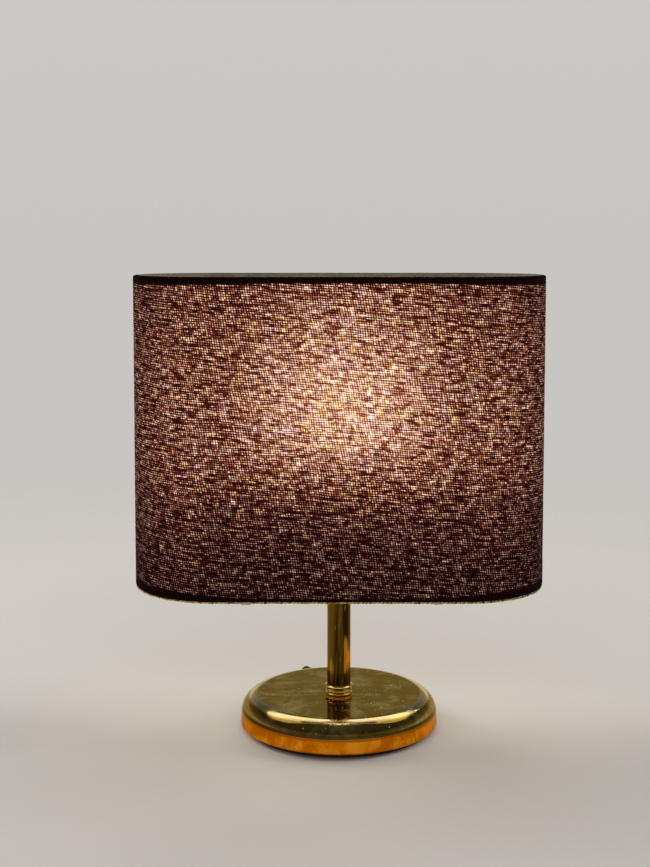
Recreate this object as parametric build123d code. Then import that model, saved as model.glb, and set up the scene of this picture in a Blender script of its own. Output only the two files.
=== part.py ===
from build123d import *
import math
import os

# Table lamp: a polished brass disc base, a brass stem and an oval fabric shade.
# Millimetres, +Z up. The stem's axis is Z, the shade is longest along X, and the
# base's felt underside lies on z = 0. The cord leaves the base at the back, +Y.

# Clearances and cutting
slip = 0.1  # between pieces that are assembled and stay put
thread_clearance = 0.05  # radial, where one piece screws or turns in another
turning_clearance = 0.3  # radial, between the shade's ring and the lampholder
glue_line = 0.05  # between glued layers
overrun = 2.0  # how far a cutting solid runs past what it cuts

# Base
base_radius = 74.5
base_height = 26.5
base_shoulder_radius = 13.3
base_wall_lean = 0.7  # how far the rim stands out past the rounded shoulder
base_widest_height = 5.0
base_rim_lift = 3.0
base_rim_turn = 3.0
base_wall = 1.2
felt_thickness = 2.0
felt_inset = 1.5
weight_inset = 3.3
weight_headroom = 6.3  # between the weight's top and the cover
weight_edge_round = 2.5
weight_boss_radius = 26.0
weight_clamp_thickness = 5.0
nut_recess_radius = 17.0
cable_slot_width = 10.4

# Cord grommet in the back of the base
grommet_turn = 17.0  # degrees from straight back towards -X
grommet_height = 16.0
grommet_bore_radius = 2.8
grommet_neck_radius = 4.4
grommet_neck_length = 4.0
grommet_collar_radius = 6.2
grommet_collar_thickness = 2.4
grommet_nose_radius = 5.0
grommet_tip_radius = 4.0
grommet_nose_length = 12.0

# Threaded rod and its fixings
rod_radius = 5.0
rod_bore_radius = 3.3
rod_nut_across_flats = 16.0
rod_nut_height = 5.0
rod_washer_radius = 15.0
rod_washer_thickness = 1.6
rod_below_nut = 0.8
rod_into_holder = 8.0

# Stem
stem_radius = 8.8
stem_wall = 1.0
stem_length = 107.5
collar_flange_radius = 10.3
collar_flange_thickness = 1.4
collar_neck_radius = 9.2
collar_neck_height = 1.1
collar_bead_radius = 9.9
collar_bead_height = 2.1
collar_beads = 2
collar_edge_round = 0.6
stem_cap_radius = 9.6
stem_cap_thickness = 3.0
stem_cap_spigot = 5.0
stem_cap_edge = 0.8

# Lampholder
holder_radius = 19.5
holder_wall = 1.8
holder_neck_radius = 10.0
holder_neck_height = 5.0
holder_cone_height = 6.0
holder_cap_height = 22.0
holder_body_height = 36.0
holder_flange_radius = 22.5
holder_flange_thickness = 2.0
holder_flange_height = 4.0  # above the joint between cap and body
holder_lip_radius = 15.0
holder_lip_thickness = 2.0
core_height = 15.0
core_into_cap = 2.0
screw_shell_wall = 0.4
screw_shell_height = 21.5
contact_width = 6.0
contact_length = 16.0
contact_thickness = 0.8
terminal_radius = 2.4
terminal_head_height = 1.8
terminal_shank_radius = 1.5
terminal_shank_length = 6.0
terminal_spacing = 16.0
terminal_set_back = 6.0
lock_screw_radius = 1.5

# Rotary switch
switch_width = 12.0
switch_depth = 7.0
switch_height = 9.0
switch_set_forward = 6.5
switch_bush_radius = 4.2
switch_bush_reach = 21.0
knob_shaft_radius = 2.2
knob_radius = 4.0
knob_length = 10.0
knob_gap = 1.0
knob_groove_radius = 0.5
knob_grooves = 12
knob_flat_depth = 0.9
knob_height = 14.0  # above the underside of the lampholder cap
knob_shaft_into_switch = 2.5

# Cable inside the lamp
lead_radius = 2.6
lead_bend_radius = 7.0
lead_floor_gap = 0.2
lead_past_rod = 1.5
lead_set_back = 1.0  # of its outer end in the grommet's nose
wire_radius = 1.0
wire_spacing = 2.6
wire_straight = 2.0  # of each conductor at both its ends
wire_bend_radius = 1.6

# Shade ring nut
ring_nut_radius = 24.0
ring_nut_height = 7.0
ring_nut_ribs = 24
ring_nut_rib_radius = 0.8

# Bulb
bulb_length = 107.0
bulb_seat_depth = 22.0  # of the centre contact below the top of the lampholder
bulb_contact_radius = 4.5
bulb_contact_height = 1.2
bulb_insulator_height = 4.0
bulb_insulator_radius = 11.4
bulb_cap_radius = 13.2
bulb_cap_height = 21.0
bulb_cap_wall = 0.6
bulb_thread_depth = 1.0
bulb_thread_pitch = 3.6
bulb_threads = 4
bulb_housing_height = 31.0
bulb_housing_foot_radius = 14.2
bulb_wall = 1.4
bulb_radius = 30.0
housing_foot_lean_share = 0.35  # how far the housing leans outwards for each unit it rises
housing_head_lean_share = 0.1
led_board_clearance = 0.3
led_board_thickness = 1.6
led_size = 3.0
led_height = 0.8
led_circle_radius = 15.0
led_count = 10

# Shade
shade_top_width = 300.0
shade_top_depth = 122.0
shade_flare = 2.0  # how much further the bottom stands out, all round
shade_height = 229.0
shade_drop = 52.6  # of the shade's lower edge below its fitter ring
fabric_thickness = 0.9
liner_thickness = 0.5
frame_wire_radius = 1.5
hem_height = 10.0
hem_roll = 1.2
hem_gather_height = 2.0
edge_thread_radius = 0.6
fitter_radius = 25.0
fitter_thickness = 1.8
arm_foot_along = 70.0
arm_notch_clearance = 0.4

# Heights and places that follow from the sizes above
base_flat_radius = base_radius - base_shoulder_radius - base_wall_lean
base_inside_top = base_height - base_wall
weight_radius = base_radius - base_wall - weight_inset
weight_top = base_inside_top - weight_headroom
weight_boss_top = base_inside_top - slip
recess_top = weight_boss_top - weight_clamp_thickness
rod_washer_low = recess_top - slip - rod_washer_thickness
rod_nut_low = rod_washer_low - slip - rod_nut_height
rod_low = rod_nut_low - rod_below_nut
stem_top = base_height + stem_length
holder_low = stem_top + stem_cap_thickness
rod_high = holder_low + rod_into_holder
holder_joint = holder_low + holder_cap_height
holder_high = holder_joint + holder_body_height
holder_inside_radius = holder_radius - holder_wall
core_low = holder_joint - core_into_cap
core_high = core_low + core_height
flange_top = holder_joint + holder_flange_height + holder_flange_thickness
fitter_low = flange_top + slip
fitter_high = fitter_low + fitter_thickness
ring_nut_low = fitter_high + slip
bulb_low = holder_high - bulb_seat_depth
bulb_cap_low = bulb_low + bulb_contact_height + bulb_insulator_height
bulb_cap_high = bulb_cap_low + bulb_cap_height
bulb_housing_high = bulb_cap_high + bulb_housing_height
bulb_high = bulb_low + bulb_length
shade_low = fitter_low - shade_drop
shade_high = shade_low + shade_height
liner_inset = fabric_thickness + glue_line
ring_inset = liner_inset + liner_thickness + slip + frame_wire_radius
hem_inset = ring_inset + frame_wire_radius + slip
ring_rise = fabric_thickness + glue_line + frame_wire_radius
knob_axis_height = holder_low + knob_height


standing = (Align.CENTER, Align.CENTER, Align.MIN)


def disc(radius, low, high):
    """A round solid on the stem's axis."""
    return Pos(0, 0, low) * Cylinder(radius, high - low, align=standing)


def tube(outer, inner, low, high):
    return disc(outer, low, high) - disc(inner, low - overrun, high + overrun)


def turned(points):
    """A solid turned about the stem's axis from (radius, height) points."""
    return revolve(make_face(Plane.XZ * Polyline(*points, close=True)), Axis.Z)


def along(start, end):
    """A plane at start whose normal points to end."""
    return Plane(origin=start, z_dir=end - start)


def bar(start, end, radius):
    """A round bar between two points."""
    return along(start, end) * Cylinder(radius, (end - start).length, align=standing)


def swept_wire(path, radius):
    """Round wire along a path."""
    return sweep(Plane(origin=path @ 0, z_dir=path % 0) * Circle(radius), path=path)


def base_dome(inset, low_radius, low):
    """The base's turned outer form, set in by a wall, down to a given radius and height."""
    round_radius = base_shoulder_radius - inset
    top = base_height - inset
    widest = base_radius - inset
    round_height = top - round_radius
    across = widest - base_flat_radius
    down = base_widest_height - round_height
    turn = math.acos(round_radius / math.hypot(across, down)) + math.atan2(down, across)
    tangent = (base_flat_radius + round_radius * math.cos(turn), round_height + round_radius * math.sin(turn))
    crown = (0, top)
    flat_edge = (base_flat_radius, top)
    outline = Polyline(crown, flat_edge)
    outline += TangentArc(flat_edge, tangent, tangent=(1, 0))
    outline += Polyline(tangent, (widest, base_widest_height), (low_radius, low), (0, low), crown)
    return revolve(make_face(Plane.XZ * outline), Axis.Z)


def grommet_point(distance):
    """A point on the grommet's axis, this far outside the base's wall."""
    turn = math.radians(90 + grommet_turn)
    radius = base_radius - base_wall + distance
    return Vector(radius * math.cos(turn), radius * math.sin(turn), grommet_height)


def base_cover():
    """Spun brass shell with a turned-in rim, open below, with holes for the rod and the grommet."""
    rim_radius = base_radius - base_rim_turn
    cover = base_dome(0, rim_radius, base_rim_lift)
    cover -= base_dome(base_wall, rim_radius, base_rim_lift + base_wall)
    cover -= disc(rim_radius, 0, base_widest_height)
    cover -= disc(rod_radius + slip, base_inside_top - overrun, base_height + overrun)
    inside = grommet_point(-grommet_neck_length)
    outside = grommet_point(grommet_neck_length)
    return cover - bar(inside, outside, grommet_neck_radius + slip)


def base_weight():
    """Cast-iron disc with a raised middle, a recess for the nut and a slot for the cable."""
    weight = disc(weight_radius, felt_thickness, weight_top)
    weight = fillet(weight.edges().group_by(Axis.Z)[-1], weight_edge_round)
    weight += disc(weight_boss_radius, felt_thickness, weight_boss_top)
    weight -= disc(nut_recess_radius, felt_thickness - overrun, recess_top)
    weight -= disc(rod_radius + slip, recess_top - overrun, weight_boss_top + overrun)
    outwards = (Align.MIN, Align.CENTER, Align.MIN)
    slot_height = weight_top - felt_thickness + 2 * overrun
    slot = Box(weight_radius + overrun, cable_slot_width, slot_height, align=outwards)
    return weight - Pos(0, 0, felt_thickness - overrun) * Rot(0, 0, 90 + grommet_turn) * slot


def base_felt():
    """Felt pad glued under the weight; the lamp stands on it."""
    return disc(weight_radius - felt_inset, 0, felt_thickness)


def base_washer():
    high = rod_washer_low + rod_washer_thickness
    return tube(rod_washer_radius, rod_radius + slip, rod_washer_low, high)


def base_nut():
    """Hexagon nut under the weight, chamfered on its lower side."""
    flats = RegularPolygon(rod_nut_across_flats / 2, 6, major_radius=False)
    nut = extrude(Pos(0, 0, rod_nut_low) * flats, rod_nut_height)
    nut = chamfer(nut.edges().group_by(Axis.Z)[0], rod_nut_height / 10)
    high = rod_nut_low + rod_nut_height
    return nut - disc(rod_radius + thread_clearance, rod_nut_low - overrun, high + overrun)


def cord_grommet():
    """Rubber bush that the supply cord goes in through: neck, collar and tapered nose."""
    collar_end = grommet_point(base_wall + grommet_collar_thickness)
    tip = base_wall + grommet_collar_thickness + grommet_nose_length
    nose = Cone(grommet_nose_radius, grommet_tip_radius, grommet_nose_length, align=standing)
    grommet = bar(grommet_point(0), collar_end, grommet_collar_radius)
    grommet += along(collar_end, grommet_point(tip)) * nose
    grommet -= base_dome(-glue_line, base_radius, base_rim_lift - overrun)
    grommet += bar(grommet_point(-grommet_neck_length), collar_end, grommet_neck_radius)
    inside = grommet_point(-grommet_neck_length - overrun)
    return grommet - bar(inside, grommet_point(tip + overrun), grommet_bore_radius)


def threaded_rod():
    return tube(rod_radius, rod_bore_radius, rod_low, rod_high)


def stem_tube():
    return tube(stem_radius, stem_radius - stem_wall, base_height, stem_top)


def collar_band(radius, low, high):
    """One band of the stem's collar, with rounded outer edges."""
    band = tube(radius, stem_radius + thread_clearance, low, high)
    outer_edges = band.edges().filter_by(GeomType.CIRCLE).group_by(SortBy.RADIUS)[-1]
    return fillet(outer_edges, collar_edge_round)


def stem_collar():
    """Turned ring round the stem's foot: rounded beads, a neck and a thin flange."""
    neck_low = base_height + collar_beads * collar_bead_height
    flange_low = neck_low + collar_neck_height
    collar = tube(collar_neck_radius, stem_radius + thread_clearance, base_height, flange_low)
    for count in range(collar_beads):
        low = base_height + count * collar_bead_height
        collar += collar_band(collar_bead_radius, low, low + collar_bead_height)
    return collar + collar_band(collar_flange_radius, flange_low, flange_low + collar_flange_thickness)


def stem_cap():
    """Turned cap that closes the stem and centres it on the rod."""
    spigot_radius = stem_radius - stem_wall - slip
    cap = disc(stem_cap_radius, stem_top, holder_low)
    cap = chamfer(cap.edges(), stem_cap_edge)
    cap += disc(spigot_radius, stem_top - stem_cap_spigot, stem_top + stem_cap_edge)
    return cap - disc(rod_radius + slip, stem_top - stem_cap_spigot - overrun, holder_low + overrun)


def inner_lead():
    """Sheathed cable from the grommet through the base's slot and up the hollow rod."""
    low = felt_thickness + lead_radius + lead_floor_gap
    outer = grommet_point(base_wall + grommet_collar_thickness + grommet_nose_length - lead_set_back)
    turn_in = grommet_point(-grommet_neck_length - lead_bend_radius)
    way_in = Vector(outer.X, outer.Y, 0).normalized()
    middle = way_in * ((nut_recess_radius + weight_boss_radius) / 2) + Vector(0, 0, low)
    corner = Vector(0, 0, low)
    top = Vector(0, 0, rod_high + lead_past_rod)
    path = FilletPolyline(outer, turn_in, middle, corner, top, radius=lead_bend_radius)
    return swept_wire(path, lead_radius)


def lead_wires():
    """The two conductors from the cable's end to the terminals."""
    up = Vector(0, 0, wire_straight)
    wires = []
    for side in (-1, 1):
        foot = Vector(side * wire_spacing / 2, 0, rod_high + lead_past_rod)
        tip = Vector(side * terminal_spacing / 2, terminal_set_back, core_low - terminal_head_height)
        path = FilletPolyline(foot, foot + up, tip - up, tip, radius=wire_bend_radius)
        wires.append(swept_wire(path, wire_radius))
    return Compound(children=wires)


def knob_axis(distance):
    """A point on the switch knob's axis, which runs forwards from the lampholder."""
    return Vector(0, -distance, knob_axis_height)


def holder_cap():
    """Lower half of the lampholder: neck, cone and a bush for the switch's shaft."""
    neck_top = holder_low + holder_neck_height
    cone_top = neck_top + holder_cone_height
    outside = [
        (0, holder_low),
        (holder_neck_radius, holder_low),
        (holder_neck_radius, neck_top),
        (holder_radius, cone_top),
        (holder_radius, holder_joint),
        (0, holder_joint),
    ]
    inside = [
        (0, neck_top + holder_wall),
        (holder_neck_radius - holder_wall, neck_top + holder_wall),
        (holder_inside_radius, cone_top + holder_wall / 2),
        (holder_inside_radius, holder_joint + overrun),
        (0, holder_joint + overrun),
    ]
    cap = turned(outside) + bar(knob_axis(0), knob_axis(switch_bush_reach), switch_bush_radius)
    cap -= turned(inside)
    cap -= disc(rod_radius + thread_clearance, holder_low - overrun, holder_joint)
    bush_end = knob_axis(switch_bush_reach + overrun)
    neck_side = lock_screw_point(holder_neck_radius + overrun)
    cap -= bar(knob_axis(0), bush_end, knob_shaft_radius + thread_clearance)
    return cap - bar(lock_screw_point(0), neck_side, lock_screw_radius + slip)


def lock_screw_point(distance):
    return Vector(0, distance, holder_low + holder_neck_height / 2)


def cap_lock_screw():
    """Grub screw that keeps the lampholder from turning on the rod."""
    head = lock_screw_point(holder_neck_radius)
    screw = bar(lock_screw_point(rod_radius + slip), head, lock_screw_radius)
    slot = Box(2 * lock_screw_radius, lock_screw_radius, lock_screw_radius / 3)
    return screw - Pos(*head) * slot


def holder_body():
    """Upper half of the lampholder: a sleeve with the flange that the shade rests on."""
    body = tube(holder_radius, holder_inside_radius, holder_joint + slip, holder_high)
    flange_low = holder_joint + holder_flange_height
    body += tube(holder_flange_radius, holder_inside_radius, flange_low, flange_top)
    body += tube(holder_radius, holder_lip_radius, holder_high - holder_lip_thickness, holder_high)
    return fillet(body.edges().group_by(Axis.Z)[-1], holder_lip_thickness / 4)


def holder_core():
    """Ceramic core that carries the screw shell, the contact, the terminals and the switch."""
    core = disc(holder_inside_radius - slip, core_low, core_high)
    for side in (-1, 1):
        place = Pos(side * terminal_spacing / 2, terminal_set_back, core_low - overrun)
        core -= place * disc(terminal_shank_radius + slip, 0, overrun + terminal_shank_length + slip)
    return core


def screw_shell():
    """Thin brass sleeve that the bulb's cap screws into, with rolled beads outside."""
    inner = bulb_cap_radius + turning_clearance
    low = core_high + slip
    shell = tube(inner + screw_shell_wall, inner, low, low + screw_shell_height)
    bead = screw_shell_wall
    foot = inner + bead / 2
    for count in range(bulb_threads):
        level = low + bulb_thread_pitch * (count + 1)
        shell += turned([(foot, level - bead), (inner + 2 * bead, level), (foot, level + bead)])
    return shell


def centre_contact():
    """Springy brass tongue under the bulb."""
    tongue = Pos(0, 0, core_high) * Box(contact_length, contact_width, contact_thickness, align=standing)
    return tongue + disc(contact_width / 3, core_high, bulb_low - slip)


def terminal_screws():
    low = core_low - terminal_head_height
    screws = []
    for side in (-1, 1):
        screw = disc(terminal_radius, low, core_low - slip / 2)
        screw += disc(terminal_shank_radius, low, core_low + terminal_shank_length)
        screws.append(Pos(side * terminal_spacing / 2, terminal_set_back, 0) * screw)
    return Compound(children=screws)


def switch_block():
    """Rotary switch under the core, in front of the rod."""
    hanging = (Align.CENTER, Align.MAX, Align.MAX)
    block = Box(switch_width, switch_depth, switch_height, align=hanging)
    block = fillet(block.edges().filter_by(Axis.Z), switch_depth / 10)
    block = Pos(0, -switch_set_forward, core_low - slip) * block
    front = switch_set_forward + switch_depth
    hole_end = knob_axis(front - knob_shaft_into_switch - slip)
    return block - bar(hole_end, knob_axis(front + overrun), knob_shaft_radius + thread_clearance)


def switch_shaft():
    front = switch_set_forward + switch_depth
    end = switch_bush_reach + knob_gap + knob_length * 2 / 3
    return bar(knob_axis(front - knob_shaft_into_switch), knob_axis(end), knob_shaft_radius)


def switch_knob():
    """Ribbed knob on the switch's shaft, with two flats for finger and thumb."""
    start = switch_bush_reach + knob_gap
    end = start + knob_length
    knob = bar(knob_axis(start), knob_axis(end), knob_radius)
    knob = chamfer(knob.edges(), knob_radius / 10)
    for count in range(knob_grooves):
        turn = math.radians(360 / knob_grooves * (count + 0.5))
        place = Vector(knob_radius * math.cos(turn), 0, knob_radius * math.sin(turn))
        knob -= bar(knob_axis(start + knob_gap) + place, knob_axis(end + overrun) + place, knob_groove_radius)
    flat = Box(2 * knob_radius, knob_length, 2 * knob_radius, align=(Align.CENTER, Align.MAX, Align.CENTER))
    for side in (-1, 1):
        level = knob_axis_height + side * (2 * knob_radius - knob_flat_depth)
        knob -= Pos(0, -start - knob_length / 3, level) * flat
    bore_end = knob_axis(start + knob_length * 2 / 3 + slip)
    return knob - bar(knob_axis(0), bore_end, knob_shaft_radius + thread_clearance)


def shade_ring_nut():
    """Ribbed ring that screws down on the shade's fitter ring."""
    high = ring_nut_low + ring_nut_height
    nut = tube(ring_nut_radius, holder_radius + thread_clearance, ring_nut_low, high)
    for count in range(ring_nut_ribs):
        rib = Pos(ring_nut_radius, 0, 0) * disc(ring_nut_rib_radius, ring_nut_low, high)
        nut += Rot(0, 0, 360 / ring_nut_ribs * count) * rib
    return nut


def bulb_contact():
    button = disc(bulb_contact_radius, bulb_low, bulb_low + bulb_contact_height)
    return fillet(button.edges().group_by(Axis.Z)[0], bulb_contact_height / 2)


def bulb_insulator():
    """Black glass cone between the bulb's two contacts."""
    low = bulb_low + bulb_contact_height + glue_line
    return turned(
        [
            (0, low),
            (bulb_contact_radius, low),
            (bulb_insulator_radius, bulb_cap_low),
            (bulb_insulator_radius, bulb_cap_low + bulb_cap_wall),
            (0, bulb_cap_low + bulb_cap_wall),
        ]
    )


def bulb_cap():
    """Thin metal screw cap with rounded thread ridges."""
    core_radius = bulb_cap_radius - bulb_thread_depth
    inside = core_radius - bulb_cap_wall
    cap = tube(core_radius, inside, bulb_cap_low + glue_line, bulb_cap_high)
    first = bulb_cap_low + bulb_thread_pitch
    for count in range(bulb_threads):
        level = first + bulb_thread_pitch * count
        ridge = Pos(0, 0, level) * Torus(bulb_cap_radius - bulb_thread_depth, bulb_thread_depth)
        cap += ridge - disc(inside, level - bulb_thread_pitch, level + bulb_thread_pitch)
    skirt_low = first + bulb_thread_pitch * (bulb_threads - 0.5)
    return cap + tube(bulb_cap_radius, inside, skirt_low, bulb_cap_high)


def bulb_flare(inset):
    """The bulb housing's outer form, or its inside with a wall's inset."""
    foot = (bulb_housing_foot_radius - inset, bulb_cap_high + glue_line)
    head = (bulb_radius - inset, bulb_housing_high)
    rise = head[1] - foot[1]
    outline = Spline(foot, head, tangents=[(housing_foot_lean_share, 1), (housing_head_lean_share, 1)])
    outline += Polyline(head, (0, bulb_housing_high), (0, bulb_housing_high - rise), foot)
    return revolve(make_face(Plane.XZ * outline), Axis.Z)


def bulb_housing():
    """White flared housing of the bulb."""
    return bulb_flare(0) - bulb_flare(bulb_wall)


def bulb_dome(inset):
    """The opal dome's outer form: a short cylinder under a half ball."""
    centre = bulb_high - bulb_radius
    radius = bulb_radius - inset
    low = bulb_housing_high + glue_line
    upper = Pos(0, 0, centre) * Sphere(radius) & disc(bulb_radius, centre, bulb_high + overrun)
    return upper + disc(radius, low, centre)


def bulb_diffuser():
    return bulb_dome(0) - bulb_dome(bulb_wall)


def led_board():
    """Aluminium disc in the housing's mouth that carries the light sources."""
    radius = bulb_radius - bulb_wall - led_board_clearance
    return disc(radius, bulb_housing_high - led_board_thickness, bulb_housing_high)


def led_chips():
    chips = []
    for count in range(led_count):
        place = Rot(0, 0, 360 / led_count * count) * Pos(led_circle_radius, 0, bulb_housing_high + glue_line)
        chips.append(place * Box(led_size, led_size, led_height, align=standing))
    return Compound(children=chips)


def oval_half_depth(level):
    """Half the shade's depth, outside, at a height."""
    return shade_top_depth / 2 + shade_flare * (shade_high - level) / shade_height


def oval(level, inset):
    """The shade's plan at a height, set in from its outer face: two straight sides, round ends."""
    depth = 2 * (oval_half_depth(level) - inset)
    return Pos(0, 0, level) * SlotCenterToCenter(shade_top_width - shade_top_depth, depth)


def oval_solid(*levels):
    """A solid through ovals, each given as a height and an inset."""
    return loft([oval(level, inset) for level, inset in levels], ruled=True)


def arm(across, back, radius):
    """A bar in the place of one spider arm, from the fitter ring to the lower frame ring."""
    level = shade_low + ring_rise
    foot = Vector(across * arm_foot_along, back * (oval_half_depth(level) - ring_inset), level)
    way = Vector(foot.X, foot.Y, 0).normalized()
    head = way * (fitter_radius - frame_wire_radius) + Vector(0, 0, fitter_low + fitter_thickness / 2)
    return bar(head, foot, radius)


def shade_fabric():
    """Woven fabric, glued to the liner and turned in over both frame rings."""
    low_roll = shade_low + hem_roll
    high_roll = shade_high - hem_roll
    fabric = oval_solid((shade_low, hem_roll), (low_roll, 0), (high_roll, 0), (shade_high, hem_roll))
    low_hem = shade_low + hem_height
    high_hem = shade_high - hem_height
    fabric -= oval_solid((low_hem, fabric_thickness), (high_hem, fabric_thickness))
    tucked = liner_inset + liner_thickness + slip
    inside = hem_inset + fabric_thickness
    wire_height = 2 * frame_wire_radius + 2 * slip + fabric_thickness
    gathered = wire_height + hem_gather_height
    for edge, up in ((shade_low, 1), (shade_high, -1)):
        mouth = [
            (edge - up * overrun, inside),
            (edge + up * wire_height, inside),
            (edge + up * gathered, tucked + fabric_thickness),
            (edge + up * (hem_height + slip), tucked + fabric_thickness),
        ]
        pocket = [
            (edge + up * fabric_thickness, fabric_thickness),
            (edge + up * (hem_height + slip), fabric_thickness),
        ]
        hollow = [
            (edge + up * fabric_thickness, hem_inset),
            (edge + up * wire_height, hem_inset),
            (edge + up * gathered, tucked),
            (edge + up * (hem_height + slip), tucked),
        ]
        fabric -= oval_solid(*mouth[::up])
        fabric -= oval_solid(*pocket[::up]) - oval_solid(*hollow[::up])
    for across in (-1, 1):
        for back in (-1, 1):
            fabric -= arm(across, back, frame_wire_radius + arm_notch_clearance)
    return fabric


def shade_liner():
    """Stiff translucent sheet that gives the shade its shape."""
    low = shade_low + liner_inset
    high = shade_high - liner_inset
    liner = oval_solid((low, liner_inset), (high, liner_inset))
    inner = liner_inset + liner_thickness
    return liner - oval_solid((low - overrun, inner), (high + overrun, inner))


def frame_ring(level, radius):
    """Steel wire ring that holds an edge of the shade."""
    return swept_wire(oval(level, ring_inset).wire(), radius)


def shade_top_ring():
    return frame_ring(shade_high - ring_rise, frame_wire_radius)


def shade_bottom_ring():
    return frame_ring(shade_low + ring_rise, frame_wire_radius)


def spider_arms():
    """Four steel wires from the fitter ring down to the lower frame ring."""
    ring = frame_ring(shade_low + ring_rise, frame_wire_radius + glue_line)
    wire_width = 2 * frame_wire_radius
    middle = disc(fitter_radius + glue_line, fitter_low - wire_width, fitter_high + wire_width)
    arms = []
    for across in (-1, 1):
        for back in (-1, 1):
            arms.append(arm(across, back, frame_wire_radius) - ring - middle)
    return Compound(children=arms)


def fitter_ring():
    """Flat ring that drops over the lampholder and rests on its flange."""
    return tube(fitter_radius, holder_radius + turning_clearance, fitter_low, fitter_high)


def edge_thread():
    """Twisted metallic thread along the shade's lower edge."""
    level = shade_low - edge_thread_radius - glue_line
    return swept_wire(oval(level, hem_roll).wire(), edge_thread_radius)


sub_parts = {
    "base_cover": base_cover,
    "base_weight": base_weight,
    "base_felt": base_felt,
    "base_washer": base_washer,
    "base_nut": base_nut,
    "cord_grommet": cord_grommet,
    "threaded_rod": threaded_rod,
    "stem_tube": stem_tube,
    "stem_collar": stem_collar,
    "stem_cap": stem_cap,
    "inner_lead": inner_lead,
    "lead_wires": lead_wires,
    "holder_cap": holder_cap,
    "cap_lock_screw": cap_lock_screw,
    "holder_body": holder_body,
    "holder_core": holder_core,
    "screw_shell": screw_shell,
    "centre_contact": centre_contact,
    "terminal_screws": terminal_screws,
    "switch_block": switch_block,
    "switch_shaft": switch_shaft,
    "switch_knob": switch_knob,
    "shade_ring_nut": shade_ring_nut,
    "bulb_contact": bulb_contact,
    "bulb_insulator": bulb_insulator,
    "bulb_cap": bulb_cap,
    "bulb_housing": bulb_housing,
    "bulb_diffuser": bulb_diffuser,
    "led_board": led_board,
    "led_chips": led_chips,
    "shade_fabric": shade_fabric,
    "shade_liner": shade_liner,
    "shade_top_ring": shade_top_ring,
    "shade_bottom_ring": shade_bottom_ring,
    "spider_arms": spider_arms,
    "fitter_ring": fitter_ring,
    "edge_thread": edge_thread,
}

os.makedirs("parts", exist_ok=True)
for name, make in sub_parts.items():
    export_step(make(), f"parts/{name}.step")
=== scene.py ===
import math
import random

import bmesh
import bpy
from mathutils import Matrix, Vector, noise


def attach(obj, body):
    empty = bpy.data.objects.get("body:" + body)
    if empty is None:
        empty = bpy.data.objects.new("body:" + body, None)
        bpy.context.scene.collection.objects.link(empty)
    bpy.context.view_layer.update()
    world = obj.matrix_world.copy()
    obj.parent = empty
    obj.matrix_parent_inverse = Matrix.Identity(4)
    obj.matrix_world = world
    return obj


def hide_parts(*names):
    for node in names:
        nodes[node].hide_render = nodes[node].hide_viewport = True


# Table lamp, switched on: a polished brass disc base, a brass stem and an oval shade of dark open
# cloth. The stem's axis is Z, the shade is longest along X, the view comes from -Y and the floor
# is z = 0. Sizes of pieces are millimetres and become metres where a mesh is made; the places that
# a material reads are metres, except for the tints of the brass and the yarns of the cloth.
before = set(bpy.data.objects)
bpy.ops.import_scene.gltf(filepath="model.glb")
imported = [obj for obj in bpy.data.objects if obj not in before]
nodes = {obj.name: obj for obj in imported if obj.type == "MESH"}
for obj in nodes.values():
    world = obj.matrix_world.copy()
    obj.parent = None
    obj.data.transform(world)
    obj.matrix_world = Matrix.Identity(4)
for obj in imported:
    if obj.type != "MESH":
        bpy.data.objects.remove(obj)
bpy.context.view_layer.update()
scene = bpy.context.scene
scene.view_settings.view_transform = "Standard"


# The view, the floor and the light
# A camera a metre in front of the lamp looks down on it a little. The floor is a pale matt disc
# that fades into the backdrop; the backdrop is pale round the lamp and dims towards the zenith,
# so that polished metal has something dark to show.

def join(tree, kind, feeds=None, **settings):
    """Adds a node, sets its options, and sets or links its inputs."""
    added = tree.nodes.new(kind)
    for name, value in settings.items():
        setattr(added, name, value)
    for key, value in (feeds or {}).items():
        socket = added.inputs[key]
        if isinstance(value, bpy.types.NodeSocket):
            tree.links.new(value, socket)
        elif socket.type == "RGBA":
            socket.default_value = (*value, 1)
        else:
            socket.default_value = value
    return added


def own_place(tree):
    """A piece's own coordinates, in metres."""
    return join(tree, "ShaderNodeTexCoord").outputs["Object"]


def part_of(tree, vector, axis):
    """One coordinate of a vector."""
    return join(tree, "ShaderNodeSeparateXYZ", {0: vector}).outputs[axis]


def reckon_vector(tree, operation, *values, gives="Vector"):
    """The result of a Vector Math node."""
    feeds = dict(enumerate(values))
    return join(tree, "ShaderNodeVectorMath", feeds, operation=operation).outputs[gives]


def spread(tree, value, low, high, to_low=0.0, to_high=1.0, way="SMOOTHSTEP"):
    """A value mapped from one range to another."""
    feeds = {"Value": value, "From Min": low, "From Max": high, "To Min": to_low, "To Max": to_high}
    return join(tree, "ShaderNodeMapRange", feeds, interpolation_type=way).outputs[0]


def ramp(tree, value, *stops):
    """A colour ramp through (place, colour) stops."""
    added = join(tree, "ShaderNodeValToRGB", {"Fac": value})
    elements = added.color_ramp.elements
    while len(elements) < len(stops):
        elements.new(1.0)
    for element, (place, colour) in zip(elements, stops):
        element.position = place
        element.color = (*colour, 1)
    return added.outputs["Color"]


def mottle(tree, vector, scale, detail=3.0, distortion=0.0):
    """A noise value round 0.5."""
    feeds = {"Vector": vector, "Scale": scale, "Detail": detail, "Distortion": distortion}
    return join(tree, "ShaderNodeTexNoise", feeds).outputs["Fac"]


def finish(name, colour, roughness, **sockets):
    """A material with a Principled shader, its constants set on the shader's own sockets."""
    material = bpy.data.materials.new(name)
    material.use_nodes = True
    tree = material.node_tree
    shader = tree.nodes["Principled BSDF"]
    shader.inputs["Base Color"].default_value = (*colour, 1)
    shader.inputs["Roughness"].default_value = roughness
    for key, value in sockets.items():
        shader.inputs[key.replace("_", " ")].default_value = value
    return material, tree, shader


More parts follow.
